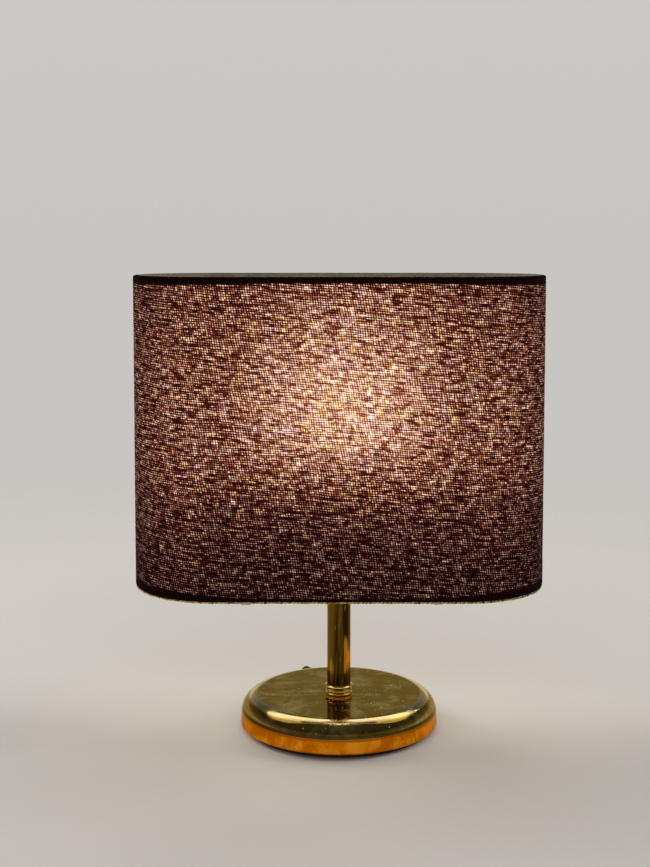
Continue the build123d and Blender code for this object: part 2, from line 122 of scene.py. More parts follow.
def feed(tree, shader, **sockets):
    """Links values to the shader's sockets."""
    for key, value in sockets.items():
        tree.links.new(value, shader.inputs[key.replace("_", " ")])


def keep(name, mesh, material, smooth_to=40):
    """An object for a mesh, smooth up to an angle, with one material."""
    mesh.shade_smooth()
    mesh.set_sharp_from_angle(angle=math.radians(smooth_to))
    mesh.materials.append(material)
    made = bpy.data.objects.new(name, mesh)
    scene.collection.objects.link(made)
    return made


def lathe(name, profile, material, turns, closed=False, smooth_to=40):
    """A turned piece from (radius, height) points."""
    points, faces = [], []
    rows = len(profile)
    for radius, height in profile:
        for count in range(turns):
            angle = 2 * math.pi * count / turns
            points.append((radius * math.cos(angle) / 1000, radius * math.sin(angle) / 1000, height / 1000))
    for row in range(rows if closed else rows - 1):
        low, high = row * turns, (row + 1) % rows * turns
        for count in range(turns):
            after = (count + 1) % turns
            faces.append((low + count, low + after, high + after, high + count))
    mesh = bpy.data.meshes.new(name)
    mesh.from_pydata(points, [], faces)
    shape = bmesh.new()
    shape.from_mesh(mesh)
    bmesh.ops.remove_doubles(shape, verts=shape.verts, dist=1e-7)
    bmesh.ops.recalc_face_normals(shape, faces=shape.faces)
    shape.to_mesh(mesh)
    shape.free()
    return keep(name, mesh, material, smooth_to)


view_place = (-0.0105, -1.027, 0.368)
view_tilt = math.radians(82.05)
camera = bpy.data.objects.new("view", bpy.data.cameras.new("view"))
camera.data.lens = 58.13
camera.data.sensor_width = 36
camera.location = view_place
camera.rotation_euler = (view_tilt, 0, 0)
scene.collection.objects.link(camera)
scene.camera = camera

floor_level = -0.05
fade_start, fade_end = 0.45, 1.3
floor_material, tree, shader = finish("floor_matt", (0.72, 0.7, 0.67), 0.75)
ground = own_place(tree)
away = reckon_vector(tree, "LENGTH", ground, gives="Value")
patchy = mottle(tree, ground, 2.0)
feed(
    tree,
    shader,
    Base_Color=ramp(tree, patchy, (0.3, (0.7, 0.68, 0.65)), (0.7, (0.74, 0.72, 0.69))),
    Alpha=spread(tree, away, fade_start, fade_end, 1.0, 0.0),
)
floor = lathe("floor", [(radius, floor_level) for radius in (0, 150, 500, 1400)], floor_material, 128)

backdrop = bpy.data.worlds.new("backdrop")
scene.world = backdrop
backdrop.use_nodes = True
tree = backdrop.node_tree
height = part_of(tree, join(tree, "ShaderNodeTexCoord").outputs["Generated"], "Z")
tones = ramp(
    tree,
    spread(tree, height, -1.0, 1.0, way="LINEAR"),
    (0.0, (0.56, 0.545, 0.52)),
    (0.5, (0.58, 0.565, 0.54)),
    (0.58, (0.6, 0.585, 0.565)),
    (0.62, (0.24, 0.232, 0.215)),
    (0.67, (0.165, 0.158, 0.143)),
    (0.76, (0.058, 0.055, 0.049)),
    (1.0, (0.1, 0.1, 0.1)),
)
tree.links.new(tones, tree.nodes["Background"].inputs["Color"])

panel_aim = Vector((0, 0, 0.15))
soft_white = (1.0, 0.97, 0.93)
cool_white = (0.6, 0.85, 1.0)
for name, place, size, power, tint in (
    ("left_panel", (-2.2, 0.9, 1.6), 1.7, 42, soft_white),
    ("right_panel", (2.3, 0.3, 1.5), 1.3, 31, soft_white),
    ("back_panel", (0.1, 1.6, 2.3), 1.8, 18, soft_white),
    ("front_panel", (-0.3, -2.3, 2.6), 3.0, 18, soft_white),
    ("glint_panel", (1.12, 1.2, 1.17), 0.12, 0.15, cool_white),
):
    panel = bpy.data.objects.new(name, bpy.data.lights.new(name, "AREA"))
    panel.data.size = size
    panel.data.energy = power
    panel.data.color = tint
    panel.visible_glossy = name == "glint_panel"
    panel.location = place
    panel.rotation_euler = (panel_aim - Vector(place)).to_track_quat("-Z", "Y").to_euler()
    scene.collection.objects.link(panel)


# The felt pad
# A disc of dark green-black wool felt under the base, cut with a knife and glued to the iron
# weight. Its cut edge is a little furry and shows as a dark line under the brass rim.

def reckon(tree, operation, *values, clamp=False):
    """The result of a Math node."""
    feeds = dict(enumerate(values))
    return join(tree, "ShaderNodeMath", feeds, operation=operation, use_clamp=clamp).outputs[0]


def weigh(tree, *pairs):
    """The sum of (value, weight) pairs."""
    total = None
    for value, weight in pairs:
        share = reckon(tree, "MULTIPLY", value, weight)
        total = share if total is None else reckon(tree, "ADD", total, share)
    return total


def mingle(tree, share, first, second, way="MIX"):
    """A mix of two colours."""
    feeds = {0: share, 6: first, 7: second}
    return join(tree, "ShaderNodeMix", feeds, data_type="RGBA", blend_type=way).outputs[2]


def group_of(name, inputs, outputs):
    """A node group with named sockets, and what its inputs give."""
    made = bpy.data.node_groups.new(name, "ShaderNodeTree")
    for side, sockets in (("INPUT", inputs), ("OUTPUT", outputs)):
        for socket, kind in sockets.items():
            made.interface.new_socket(socket, in_out=side, socket_type="NodeSocket" + kind)
    return made, join(made, "NodeGroupInput").outputs


fine_grain, grain_in = group_of(
    "fine_grain",
    {"Light": "Color", "Dark": "Color", "Scale": "Float"},
    {"Colour": "Color", "Height": "Float"},
)
place = own_place(fine_grain)
speck = mottle(fine_grain, place, grain_in["Scale"], 5.0)
broad = mottle(fine_grain, place, 55.0, 3.0)
lightness = spread(fine_grain, weigh(fine_grain, (speck, 0.55), (broad, 0.45)), 0.35, 0.65)
grain_colour = mingle(fine_grain, lightness, grain_in["Dark"], grain_in["Light"])
join(fine_grain, "NodeGroupOutput", {"Colour": grain_colour, "Height": speck})


def grained(name, light, dark, roughness, scale=900.0, depth=0.15, step=0.1, **sockets):
    """A material whose colour and surface follow the fine grain."""
    material, tree, shader = finish(name, light, roughness, **sockets)
    feeds = {"Light": light, "Dark": dark, "Scale": scale}
    grain = join(tree, "ShaderNodeGroup", feeds, node_tree=fine_grain).outputs
    feeds = {"Strength": depth, "Distance": step / 1000, "Height": grain["Height"]}
    bump = join(tree, "ShaderNodeBump", feeds).outputs[0]
    rough = spread(tree, grain["Height"], 0.3, 0.7, roughness * 0.88, min(1.0, roughness * 1.12))
    feed(tree, shader, Base_Color=grain["Colour"], Normal=bump, Roughness=rough)
    return material


felt_radius = 68.45
felt_thickness = 2.0
flat_to = 40
felt_wool = grained("felt_wool", (0.022, 0.026, 0.022), (0.01, 0.012, 0.01), 0.96, 1600.0, 0.6, 0.5)
felt_profile = [(0, 0), (flat_to, 0), (felt_radius - 0.85, 0), (felt_radius - 0.25, 0.25)]
felt_profile += [(felt_radius, 0.9), (felt_radius - 0.25, felt_thickness - 0.3)]
felt_profile += [(felt_radius - 0.85, felt_thickness), (flat_to, felt_thickness), (0, felt_thickness)]
felt = lathe("felt_pad", felt_profile, felt_wool, 240)
furry_from = 0.066
cut_edge = 0.068
fur_length = 0.00016
for corner in felt.data.vertices:
    x, y, z = corner.co
    if math.hypot(x, y) > furry_from:
        fur = 1 + noise.noise(Vector((x, y, z)) * 900) * fur_length / cut_edge
        corner.co = (x * fur, y * fur, z)
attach(felt, "base")
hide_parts("base_felt")


# The weight and its fixings
# A rough cast-iron disc gives the lamp its weight. A steel washer and a hexagon nut under it
# draw the hollow threaded rod down, which clamps the base, the stem and the lampholder.

def dress(names, material):
    """Gives CAD pieces a finish."""
    for name in names.split():
        for slot in nodes[name].material_slots:
            slot.material = material


cast_iron = grained(
    "cast_iron", (0.07, 0.068, 0.066), (0.03, 0.029, 0.029), 0.72, 420.0, 0.5, 0.4, Metallic=0.6
)
dress("base_weight", cast_iron)
zinc_steel = grained("zinc_steel", (0.55, 0.55, 0.53), (0.42, 0.42, 0.41), 0.35, 700.0, 0.1, Metallic=1.0)
dress("base_washer base_nut cap_lock_screw", zinc_steel)
rod_steel = grained("rod_steel", (0.5, 0.48, 0.44), (0.36, 0.35, 0.33), 0.4, 500.0, 0.15, Metallic=1.0)
dress("threaded_rod", rod_steel)


# The base cover
# Brass sheet spun over a form: a flat top, a rounded shoulder, an upright wall and a turned-in
# rim. It is polished and lacquered, with wipe marks, hairline scratches and specks of dust, most
# of them on the flat. Bands of colour by height paint reflections into it: a dark shoulder, an
# orange wall and a bright line along the top of the shoulder.

hand_marks, marks_in = group_of(
    "hand_marks",
    {"Vector": "Vector"},
    {"Smears": "Float", "Scratches": "Float", "Dust": "Float"},
)
touched = marks_in["Vector"]
broad_smears, fine_strokes, hairlines, hairline_breaks, dust_cells = 45.0, 95.0, 30.0, 70.0, 420.0
strokes_along = {"Vector": touched, "Rotation": (0.0, 0.0, 0.9), "Scale": (1.0, 2.6, 1.0)}
stroke_place = join(hand_marks, "ShaderNodeMapping", strokes_along).outputs[0]
smear = mottle(hand_marks, touched, broad_smears, 4.0, 0.8)
stroke = mottle(hand_marks, stroke_place, fine_strokes, 6.0, 1.2)
smear = spread(hand_marks, weigh(hand_marks, (smear, 0.6), (stroke, 0.4)), 0.44, 0.62)
hairline = reckon(hand_marks, "SUBTRACT", mottle(hand_marks, touched, hairlines, 1.5, 2.2), 0.52)
hairline = spread(hand_marks, reckon(hand_marks, "ABSOLUTE", hairline), 0.0, 0.006, 1.0, 0.0)
breaks = spread(hand_marks, mottle(hand_marks, touched, hairline_breaks, 2.0), 0.5, 0.62)
scratch = reckon(hand_marks, "MULTIPLY", hairline, breaks)
cells = join(hand_marks, "ShaderNodeTexVoronoi", {"Vector": touched, "Scale": dust_cells}).outputs
chosen = join(hand_marks, "ShaderNodeSeparateColor", {0: cells["Color"]}).outputs["Red"]
chosen = spread(hand_marks, chosen, 0.86, 0.96)
close = spread(hand_marks, cells["Distance"], 0.1, 0.24, 1.0, 0.0)
dust_speck = reckon(hand_marks, "MULTIPLY", chosen, close)
join(hand_marks, "NodeGroupOutput", {"Smears": smear, "Scratches": scratch, "Dust": dust_speck})

# A mask by height for bands of colour: painted reflections on the base cover, tarnish in the collar's
# grooves.
band_measures = ("Smears", "Depth", "Low", "Low End", "High", "High End")
reflection_and_tarnish_band, band_in = group_of("reflection_and_tarnish_band", dict.fromkeys(band_measures, "Float"), {"Mask": "Float"})
level = reckon(reflection_and_tarnish_band, "MULTIPLY", part_of(reflection_and_tarnish_band, own_place(reflection_and_tarnish_band), "Z"), 1000.0)
over_low = spread(reflection_and_tarnish_band, level, band_in["Low"], band_in["Low End"])
under_high = spread(reflection_and_tarnish_band, level, band_in["High"], band_in["High End"], 1.0, 0.0)
under_smears = reckon(reflection_and_tarnish_band, "SUBTRACT", 1.0, band_in["Depth"])
worn = spread(reflection_and_tarnish_band, band_in["Smears"], 0.0, 1.0, 1.0, under_smears, "LINEAR")
within = reckon(reflection_and_tarnish_band, "MULTIPLY", reckon(reflection_and_tarnish_band, "MULTIPLY", over_low, under_high), worn)
join(reflection_and_tarnish_band, "NodeGroupOutput", {"Mask": within})

# A soft patch of colour on the stem: a painted reflection.
painted_reflection_patch, patch_in = group_of(
    "painted_reflection_patch",
    {"Smears": "Float", "Centre": "Vector", "Reach": "Vector"},
    {"Mask": "Float"},
)
point = reckon_vector(painted_reflection_patch, "MULTIPLY", own_place(painted_reflection_patch), (1000.0, 1000.0, 1000.0))
point = reckon_vector(painted_reflection_patch, "SUBTRACT", point, patch_in["Centre"])
point = reckon_vector(painted_reflection_patch, "DIVIDE", point, patch_in["Reach"])
out = reckon_vector(painted_reflection_patch, "LENGTH", point, gives="Value")
uneven = reckon(painted_reflection_patch, "MULTIPLY", reckon(painted_reflection_patch, "SUBTRACT", patch_in["Smears"], 0.5), 0.9)
within = spread(painted_reflection_patch, reckon(painted_reflection_patch, "ADD", out, uneven), 0.5, 1.1, 1.0, 0.0)
join(painted_reflection_patch, "NodeGroupOutput", {"Mask": within})


brass_edge = (0.85, 0.7, 0.5, 1)
bright_scratch = (0.95, 0.85, 0.55)
grey_dust = (0.75, 0.72, 0.66)


def polished(
    name, clean, dulled, shine, smear_shine, stretch=(1, 1, 1), dusty=(1.0, 0.1), bands=(), patches=()
):
    """Polished metal marked by hands, cloths and dust; dusty is the dust's share on flats and on walls.

    A band of tint by height, painted reflections on the base cover and tarnish on the collar, is
    (colour, how far smears thin it, low, low end, high, high end) and a patch, a painted reflection,
    is (colour, centre, reach), in millimetres.
    """
    material, tree, shader = finish(name, clean, shine, Metallic=1.0, Specular_Tint=brass_edge)
    place = join(tree, "ShaderNodeMapping", {"Vector": own_place(tree), "Scale": stretch}).outputs[0]
    marks = join(tree, "ShaderNodeGroup", {"Vector": place}, node_tree=hand_marks).outputs
    smears, scratches = marks["Smears"], marks["Scratches"]
    face_up = part_of(tree, join(tree, "ShaderNodeTexCoord").outputs["Normal"], "Z")
    on_flats, on_walls = dusty
    dust = reckon(tree, "MULTIPLY", marks["Dust"], spread(tree, face_up, 0.1, 0.6, on_walls, on_flats))
    tint = mingle(tree, smears, clean, dulled)
    tint = mingle(tree, reckon(tree, "MULTIPLY", scratches, 0.5), tint, bright_scratch)
    for colour, *measures in bands:
        feeds = dict(zip(band_measures, (smears, *measures)))
        band = join(tree, "ShaderNodeGroup", feeds, node_tree=reflection_and_tarnish_band).outputs["Mask"]
        tint = mingle(tree, band, tint, colour)
    for colour, centre, reach in patches:
        feeds = {"Smears": smears, "Centre": centre, "Reach": reach}
        patch = join(tree, "ShaderNodeGroup", feeds, node_tree=painted_reflection_patch).outputs["Mask"]
        tint = mingle(tree, patch, tint, colour)
    tint = mingle(tree, dust, tint, grey_dust)
    rough = spread(tree, smears, 0.0, 1.0, shine, smear_shine, "LINEAR")
    rough = reckon(tree, "ADD", rough, reckon(tree, "MULTIPLY", scratches, 0.18))
    rough = reckon(tree, "ADD", rough, reckon(tree, "MULTIPLY", dust, 0.5), clamp=True)
    metal = reckon(tree, "SUBTRACT", 1.0, reckon(tree, "MULTIPLY", dust, 0.9))
    ripple = weigh(tree, (mottle(tree, place, 24.0, 1.0), 1.0), (scratches, -0.012))
    bump = join(tree, "ShaderNodeBump", {"Strength": 0.12, "Distance": 0.001, "Height": ripple})
    feed(tree, shader, Base_Color=tint, Roughness=rough, Metallic=metal, Normal=bump.outputs[0])
    return material


def arc(centre, radius, start, end, steps):
    """Points of an arc in a profile, angles in degrees."""
    places = []
    for count in range(steps + 1):
        angle = math.radians(start + (end - start) * count / steps)
        places.append((centre[0] + radius * math.cos(angle), centre[1] + radius * math.sin(angle)))
    return places


base_height = 26.5
rod_hole = 5.1
sheet = 1.2
shoulder = 13.3
shoulder_centre = (60.5, base_height - shoulder)
wall_lean = 4.6
under_sheet = base_height - sheet
base_brass = polished(
    "painted_reflection_brass",
    clean=(0.68, 0.48, 0.11),
    dulled=(0.98, 0.8, 0.34),
    shine=0.05,
    smear_shine=0.24,
    # Painted reflections by height: a dark shoulder with a darker line under it, an orange wall and a
    # bright line along the shoulder's top.
    bands=(
        ((0.3, 0.2, 0.04), 0.3, 16.5, 18.0, 23.4, 24.6),
        ((0.07, 0.043, 0.007), 0.05, 14.5, 15.3, 17.0, 18.4),
        ((1.0, 0.34, 0.003), 0.05, -2.0, -1.0, 14.6, 15.2),
        ((0.66, 0.18, 0.002), 1.0, -2.0, -1.0, 13.0, 14.2),
        ((0.5, 0.12, 0.001), 0.1, 12.6, 14.0, 14.7, 15.2),
        ((1.0, 0.9, 0.56), 0.1, 24.2, 24.8, 26.4, base_height),
    ),
)
cover_profile = (
    [(radius, base_height) for radius in (rod_hole, 20, 40, 55)]
    + arc(shoulder_centre, shoulder, 90, wall_lean, 40)
    + [(74.05, 10.5), (74.35, 7.0), (74.48, 5.4), (74.45, 4.85), (74.1, 4.5)]
    + [(73.2, 4.05), (71.9, 3.1), (71.55, 3.0), (71.5, 3.15), (71.5, 4.2), (73.25, 5.3), (72.55, 14.1)]
    + arc(shoulder_centre, shoulder - sheet, wall_lean, 90, 16)
    + [(30, under_sheet), (rod_hole, under_sheet)]
)
cover = lathe("spun_cover", cover_profile, base_brass, 288, closed=True, smooth_to=50)
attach(cover, "base")
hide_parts("base_cover")


# The cord grommet and the cable in the lamp
# A black rubber bush in the back of the base, moulded with a collar and a tapered nose. The
# sheathed cable lies in the weight's slot and goes up the hollow rod to the terminals.

dress("cord_grommet", grained("black_rubber", (0.02, 0.02, 0.021), (0.012, 0.012, 0.012), 0.6, 800.0, 0.25))
dress("inner_lead", grained("cable_sheath", (0.03, 0.03, 0.03), (0.018, 0.018, 0.018), 0.45, 900.0, 0.15))
dress("lead_wires", grained("wire_insulation", (0.16, 0.3, 0.5), (0.1, 0.2, 0.38), 0.4, 900.0, 0.1))


# The stem
# Drawn brass tube, polished along its length, with a turned and beaded collar round its foot and
# a turned cap on top. Handling has left long faint streaks and dull stretches on it. Its brass is
# painted near black, with a dark and a light streak and warm orange patches down its front: all
# painted reflections.

stem_radius = 8.8
stem_bore = 7.8
stem_top = 134.0
edge_round = 0.3
stem_brass = polished(
    "stem_brass",
    # The clean brass is painted near black, a painted dark reflection.
    clean=(0.045, 0.023, 0.0015),
    dulled=(0.15, 0.088, 0.008),
    shine=0.12,
    smear_shine=0.3,
    stretch=(2.6, 2.6, 0.16),
    dusty=(0.5, 0.5),
    # Painted reflections down the stem's front: a dark and a light streak, and warm orange patches lower
    # down.
    patches=(
        ((0.035, 0.016, 0.001), (4.5, -7.0, 95.0), (5.5, 8.0, 60.0)),
        ((0.16, 0.09, 0.009), (-6.2, -6.0, 85.0), (2.4, 8.0, 60.0)),
        ((0.78, 0.27, 0.008), (6.8, -6.0, 54.0), (3.2, 8.0, 14.0)),
        ((0.55, 0.28, 0.03), (4.6, -7.5, 62.0), (1.2, 8.0, 10.0)),
        ((0.45, 0.2, 0.02), (-5.4, -6.5, 45.0), (1.3, 8.0, 8.0)),
    ),
)
tube_foot = base_height + edge_round
tube_length = stem_top - edge_round - tube_foot
tube_profile = [(8.0, base_height + 0.1), (stem_radius - 0.25, base_height), (stem_radius, tube_foot)]
tube_profile += [(stem_radius, tube_foot + tube_length * count / 24) for count in range(1, 25)]
tube_profile += [(stem_radius - 0.25, stem_top), (8.0, stem_top - 0.1), (stem_bore, stem_top - 0.5)]
tube_profile += [(stem_bore, base_height + 0.5)]
stem = lathe("stem_pipe", tube_profile, stem_brass, 128, closed=True, smooth_to=50)
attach(stem, "base")
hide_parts("stem_tube")

bead_dust = (0.6, 0.1)
bead_brass = polished("bead_brass", (0.95, 0.7, 0.25), (0.8, 0.55, 0.17), 0.1, 0.2, dusty=bead_dust)
tarnish = (0.1, 0.055, 0.012)
collar_brass = polished(
    "collar_brass",
    clean=(1.0, 0.8, 0.32),
    dulled=(0.95, 0.7, 0.24),
    shine=0.12,
    smear_shine=0.22,
    dusty=bead_dust,
    bands=((tarnish, 0.0, 30.3, 30.45, 31.9, 32.05), (tarnish, 0.0, 27.45, 27.55, 28.2, 28.35)),
)
collar_bore = 8.85
collar_foot = [(collar_bore, base_height), (9.85, base_height), (9.98, 26.6), (9.98, 26.8), (9.85, 26.92)]
low_groove = [(9.05, 27.3), (8.95, 27.45), (8.93, 28.1), (9.1, 28.25)]
low_bead = [(9.6, 28.32), (9.74, 28.42), (9.74, 28.72), (9.64, 28.82)]
low_bead += [(9.1, 29.04), (9.05, 29.14), (9.1, 29.24)]
high_bead = [(9.6, 29.3), (9.74, 29.42), (9.74, 29.92), (9.64, 30.02), (9.05, 30.26)]
high_groove = [(8.95, 30.4), (8.93, 31.5), (9.2, 31.9)]
top_bead = [(10.1, 31.98), (10.44, 32.1), (10.54, 32.3), (10.5, 32.5), (10.38, 32.62)]
collar_top = [(9.2, 33.03), (8.95, 33.16), (collar_bore, 33.2)]
collar_profile = collar_foot + low_groove + low_bead + high_bead + high_groove + top_bead + collar_top
collar = lathe("beaded_collar", collar_profile, collar_brass, 144, closed=True, smooth_to=28)
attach(collar, "base")
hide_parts("stem_collar")
dress("stem_cap", bead_brass)


# The lampholder
# A moulded screw lampholder: a necked cap with a rotary switch, a sleeve with the flange that the
# shade rests on, a ceramic core with its terminals, a brass screw shell and a contact tongue.

holder_plastic = grained("holder_plastic", (0.028, 0.026, 0.025), (0.02, 0.019, 0.018), 0.36, 700.0, 0.08)
dress("holder_cap holder_body switch_block", holder_plastic)
dress("switch_knob", grained("knob_plastic", (0.03, 0.028, 0.027), (0.02, 0.019, 0.018), 0.3, 900.0, 0.1))
dress("holder_core", grained("glazed_ceramic", (0.78, 0.76, 0.7), (0.68, 0.66, 0.6), 0.3, 500.0, 0.1))
dress("screw_shell centre_contact terminal_screws switch_shaft", bead_brass)
nut_plastic = grained("nut_plastic", (0.03, 0.028, 0.027), (0.02, 0.019, 0.018), 0.34, 800.0, 0.1)
dress("shade_ring_nut", nut_plastic)


# The bulb
# A warm bulb that is on: a nickel-plated screw cap, a black insulator, a flared white housing
# and an opal dome that glows evenly, a little less at its foot where the housing shades it.

nickel_plate = grained("nickel_plate", (0.62, 0.6, 0.57), (0.5, 0.49, 0.47), 0.28, 600.0, 0.1, Metallic=1.0)
dress("bulb_cap bulb_contact", nickel_plate)
black_glass = grained("black_glass", (0.015, 0.015, 0.016), (0.01, 0.01, 0.01), 0.12, 500.0, 0.03)
dress("bulb_insulator", black_glass)
dress("bulb_housing", grained("lamp_white", (0.83, 0.82, 0.79), (0.78, 0.77, 0.74), 0.4, 600.0, 0.06))
dress("led_board", grained("board_white", (0.75, 0.75, 0.73), (0.65, 0.65, 0.63), 0.5, 600.0, 0.05))
dress("led_chips", grained("chip_resin", (0.85, 0.7, 0.2), (0.7, 0.55, 0.15), 0.35, 900.0, 0.05))

dome_radius = 30.0
dome_bore = 28.6
dome_foot = 230.25
dome_centre = (0, 250.0)
opal, tree, shader = finish("opal_glow", (0.9, 0.88, 0.84), 0.35, Emission_Strength=6.0)
place = own_place(tree)
waver = reckon(tree, "MULTIPLY", mottle(tree, place, 60.0), 0.002)
level = reckon(tree, "ADD", part_of(tree, place, "Z"), waver)
glow = ramp(tree, spread(tree, level, 0.230, 0.250), (0.0, (0.62, 0.44, 0.27)), (1.0, (1.0, 0.78, 0.52)))
feed(tree, shader, Emission_Color=glow)
dome_profile = [(dome_bore, dome_foot), (29.8, dome_foot)]
dome_profile += [(dome_radius, dome_foot + 0.25), (dome_radius, 238.0)]
dome_profile += arc(dome_centre, dome_radius, 0, 90, 30)
dome_profile += arc(dome_centre, dome_bore, 90, 0, 16) + [(dome_bore, 240.0)]
dome = lathe("opal_dome", dome_profile, opal, 96, closed=True, smooth_to=60)
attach(dome, "bulb")
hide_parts("bulb_diffuser")


# The shade's frame
# Steel wire: a ring in each hem, four arms welded to a flat fitter ring and to the lower wire
# ring, all painted white. The ring drops over the lampholder and its ring nut holds it down.

shade_foot = 112.5
shade_top = 341.5
foot_half_depth = 63.0
top_half_depth = 61.0


def half_depth(level):
    """Half the shade's depth, outside, at a height."""
    flare = foot_half_depth - top_half_depth
    return top_half_depth + flare * (shade_top - level) / (shade_top - shade_foot)


def beads(name, lumps, squash, uneven, grain, material):
    """Small uneven lumps, each a (centre, radius), squashed by shares along X, Y and Z."""
    shape = bmesh.new()
    for centre, radius in lumps:
        ball = bmesh.ops.create_icosphere(shape, subdivisions=3, radius=radius / 1000)
        for corner in ball["verts"]:
            swell = 1 + uneven * noise.noise(corner.co * grain + centre)
            squashed = Vector([part * share for part, share in zip(corner.co, squash)])
            corner.co = squashed * swell + centre / 1000
    mesh = bpy.data.meshes.new(name)
    shape.to_mesh(mesh)
    shape.free()
    return keep(name, mesh, material, 80)


frame_paint = grained("frame_paint", (0.74, 0.72, 0.67), (0.6, 0.57, 0.52), 0.42, 600.0, 0.12)
dress("shade_top_ring shade_bottom_ring spider_arms fitter_ring", frame_paint)

arm_at = 70
wire_level = 114.95
wire_inset = 3.05
fitter_reach = 24.4
fitter_top = 165.6
weld_spots = []
for across in (-1, 1):
    for back in (-1, 1):
        foot = Vector((across * arm_at, back * (half_depth(115) - wire_inset), wire_level))
        way = Vector((foot.x, foot.y, 0)).normalized()
        weld_spots.append((foot + Vector((0, 0, 1.2)), 2.0))
        weld_spots.append((way * fitter_reach + Vector((0, 0, fitter_top)), 1.9))
welds = beads("weld_beads", weld_spots, (1.2, 1.2, 0.75), 0.25, 900, frame_paint)
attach(welds, "shade")


# The shade's liner
# A stiff translucent sheet, off-white, rolled to the oval and lapped at the back. It carries the
# cloth. The bulb lights it from inside, and that light is also painted into it as a glow by
# height, strongest in its lower third.

straight = 89.0
round_end = math.pi * (foot_half_depth + top_half_depth) / 2
perimeter = 4 * straight + 2 * round_end


def oval_place(distance, depth):
    """A point of the shade's plan and the way out from it, by the distance round from mid back."""
    distance %= perimeter
    if distance < straight:
        x, angle = -distance, 90
    elif distance < straight + round_end:
        x, angle = -straight, 90 + 180 * (distance - straight) / round_end
    elif distance < 3 * straight + round_end:
        x, angle = distance - 2 * straight - round_end, 270
    elif distance < 3 * straight + 2 * round_end:
        x, angle = straight, 270 + 180 * (distance - 3 * straight - round_end) / round_end
    else:
        x, angle = perimeter - distance, 90
    out = Vector((math.cos(math.radians(angle)), math.sin(math.radians(angle)), 0))
    return Vector((x, 0, 0)) + out * depth, out


def ribbon(name, rows, columns, place, material, joined=True):
    """A mesh of rows by columns; place(row, column) gives a point in millimetres."""
    points = [place(row, column) / 1000 for row in range(rows) for column in range(columns)]
    faces = []
    for row in range(rows - 1):
        for column in range(columns if joined else columns - 1):
            after = (column + 1) % columns
            low, high = row * columns, (row + 1) * columns
            faces.append((low + column, low + after, high + after, high + column))
    mesh = bpy.data.meshes.new(name)
    mesh.from_pydata(points, [], faces)
    return keep(name, mesh, material, 60)


lining, tree, shader = finish("lining_sheet", (0.33, 0.3, 0.24), 0.5, Emission_Strength=0.7)
place = own_place(tree)
fibres = mottle(tree, place, 320.0, 5.0)
tone = ramp(tree, fibres, (0.3, (0.29, 0.26, 0.2)), (0.7, (0.36, 0.33, 0.27)))
bump = join(tree, "ShaderNodeBump", {"Strength": 0.2, "Distance": 0.0002, "Height": fibres})
# The bulb's light on the liner, painted as a glow by height, brightest low down.
painted_inner_light = ramp(
    tree,
    spread(tree, part_of(tree, place, "Z"), shade_foot / 1000, (shade_top - 1) / 1000, way="LINEAR"),
    (0.0, (1.4, 1.25, 0.9)),
    (0.28, (1.3, 1.14, 0.82)),
    (0.55, (0.62, 0.52, 0.36)),
    (1.0, (0.42, 0.34, 0.23)),
)
feed(tree, shader, Base_Color=tone, Normal=bump.outputs[0], Emission_Color=painted_inner_light)

liner_foot = 113.6
liner_rise = 226.8
liner_columns = 320
liner_rows = 16
liner_inset = 1.2
half_sheet = 0.25
cut_round = 0.15
liner_edge = (liner_inset, liner_foot - cut_round)
liner_levels = [liner_foot + liner_rise * count / liner_rows for count in range(liner_rows + 1)]
liner_profile = [liner_edge] + [(liner_inset + half_sheet, level) for level in liner_levels]
liner_profile += [(liner_inset, liner_foot + liner_rise + cut_round)]
liner_profile += [(liner_inset - half_sheet, level) for level in reversed(liner_levels)] + [liner_edge]


def liner_point(row, column):
    """A point of the liner, once round the oval."""
    inset, level = liner_profile[row]
    point = oval_place(perimeter * column / liner_columns, half_depth(level) - inset)[0]
    return point + Vector((0, 0, level))


liner = ribbon("liner_sheet", len(liner_profile), liner_columns, liner_point, lining)
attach(liner, "shade")
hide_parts("shade_liner")


# The shade's cloth
# Open plain-weave cloth of uneven dark yarn, set slightly askew, glued to the liner, lapped at
# mid back and turned in over both wire rings. The bulb's light through the yarn and the gaps in
# the weave is painted into it as a glow; the turned-in hems are double, and the painted glow stops
# short of them, so they stay dark.

def stretched(tree, first, first_length, second, second_length, seed, detail=2.0):
    """Noise over two lengths, one longer than the other."""
    x = reckon(tree, "DIVIDE", first, first_length)
    y = reckon(tree, "DIVIDE", second, second_length)
    vector = join(tree, "ShaderNodeCombineXYZ", {0: x, 1: y, 2: seed}).outputs[0]
    return mottle(tree, vector, 1.0, detail)


def yarn_set(tree, main, lean, side, pitch, length, thin, thick, seed):
    """Parallel yarns, thick and thin over a length: their number, where they are, the light they stop."""
    wander = stretched(tree, main, 30.0, side, 30.0, seed, 3.0)
    number = reckon(tree, "DIVIDE", reckon(tree, "ADD", main, reckon(tree, "MULTIPLY", side, lean)), pitch)
    number = reckon(tree, "ADD", number, reckon(tree, "MULTIPLY", wander, 2.2))
    wave = reckon(tree, "COSINE", reckon(tree, "MULTIPLY", number, 2 * math.pi))
    thickness = spread(tree, stretched(tree, number, 1.5, side, length, seed + 3.0, 2.0), 0.3, 0.7)
    edge = spread(tree, thickness, 0.0, 1.0, 0.25, -0.55, "LINEAR")
    low = reckon(tree, "SUBTRACT", edge, 0.3)
    high = reckon(tree, "ADD", edge, 0.3)
    body = reckon(tree, "ADD", thin, reckon(tree, "MULTIPLY", thickness, thick))
    mask = spread(tree, wave, low, high)
    return number, mask, reckon(tree, "MULTIPLY", mask, body)


